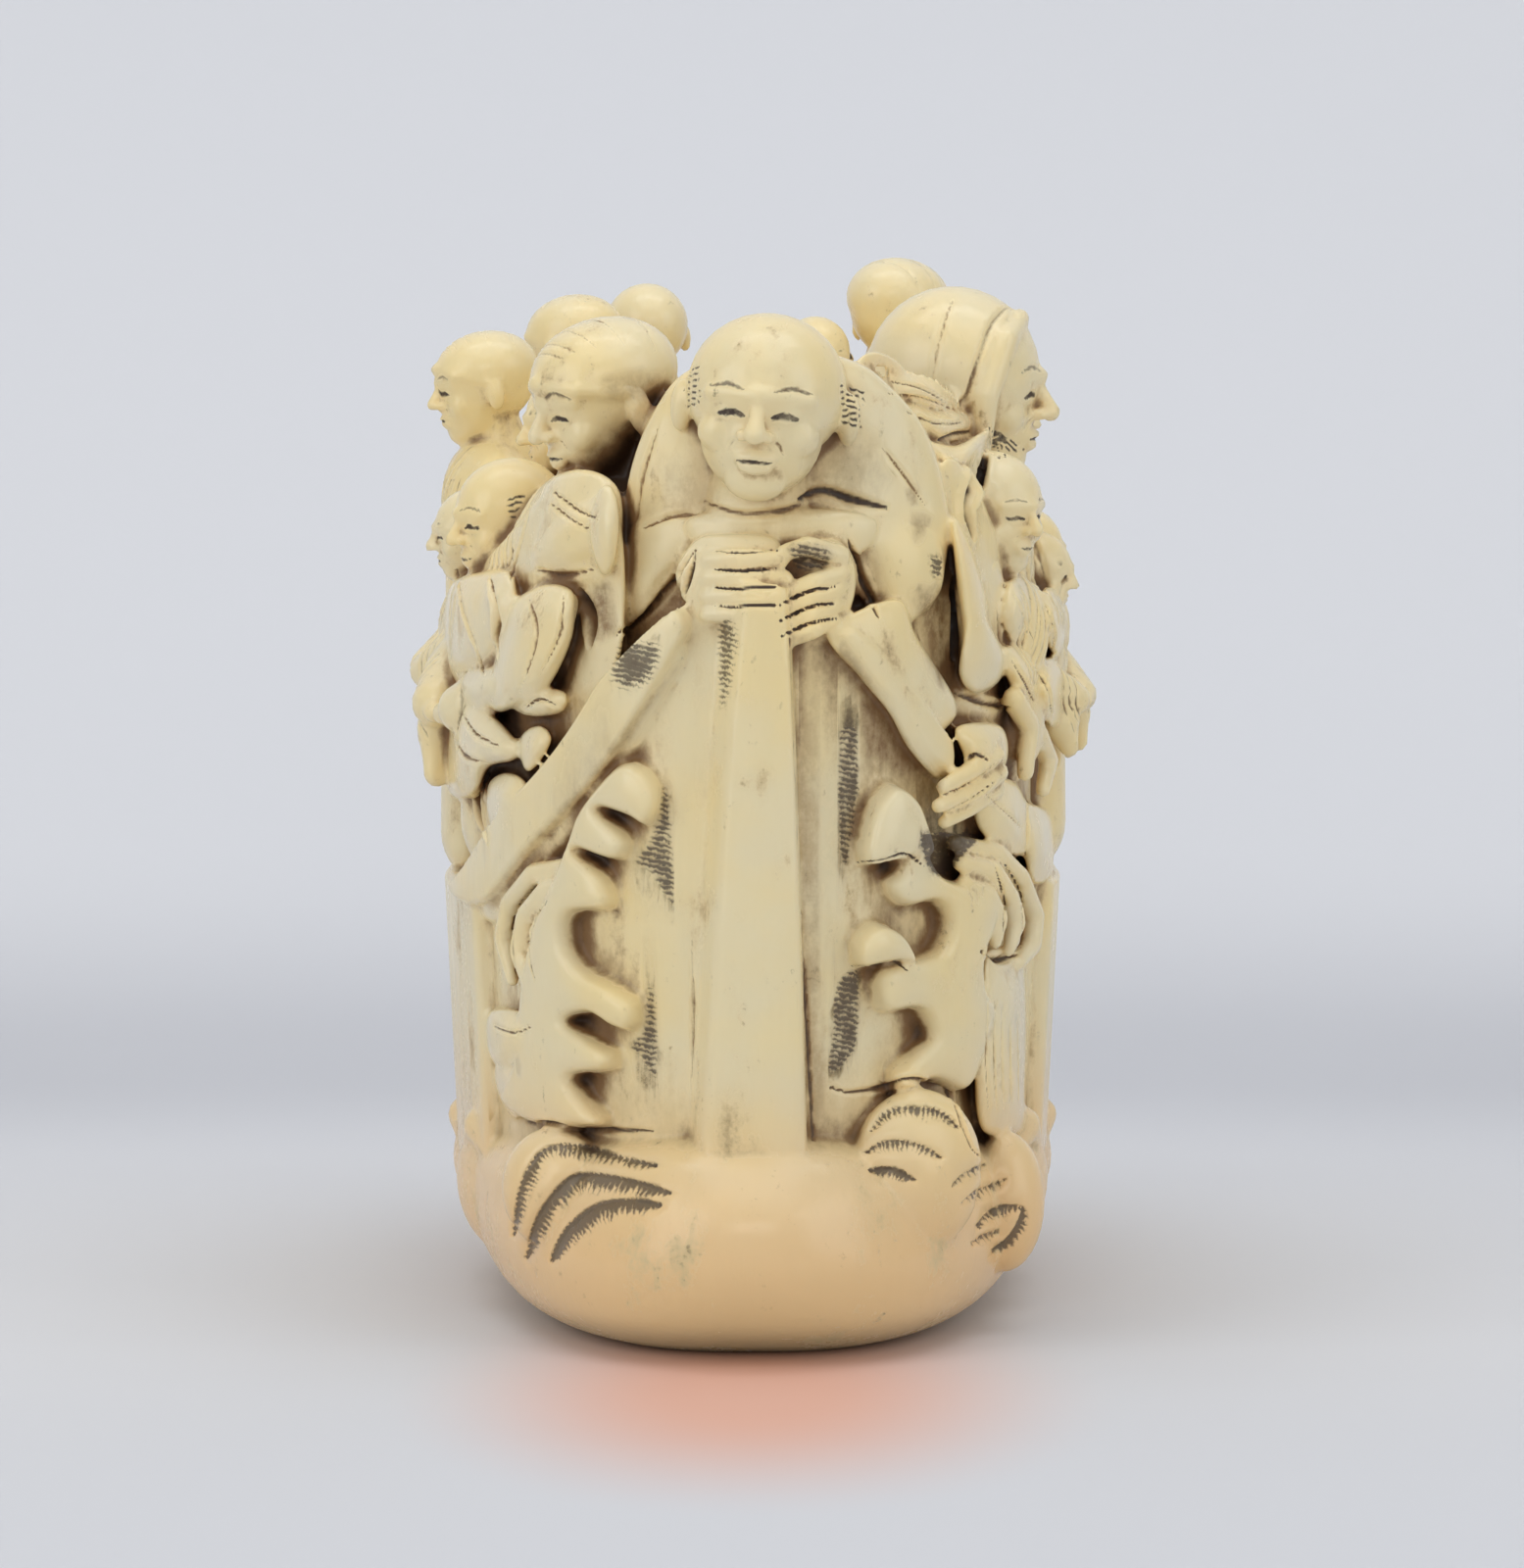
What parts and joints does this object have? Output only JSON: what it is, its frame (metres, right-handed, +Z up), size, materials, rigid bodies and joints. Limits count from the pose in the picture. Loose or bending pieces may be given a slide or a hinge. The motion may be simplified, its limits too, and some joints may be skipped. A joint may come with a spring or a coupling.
{
  "type": "ivory netsuke",
  "caption": "Carved ivory netsuke of a high-bowed boat crowded with robed passengers on a sea of clawed waves, with two cord holes underneath.",
  "frame": {"origin": "centre of the object's footprint, on the plane that its flat underside stands on", "axes": "+Z up, -Y towards the bow, +X to starboard"},
  "size_m": [0.0246, 0.0452, 0.037],
  "materials": {
    "ivory": "hand-carved ivory, polished to a soft gloss on the high places, with brown-black stain left in the cuts"
  },
  "bodies": {
    "root": {"boat_netsuke": "ivory"}
  },
  "joints": []
}
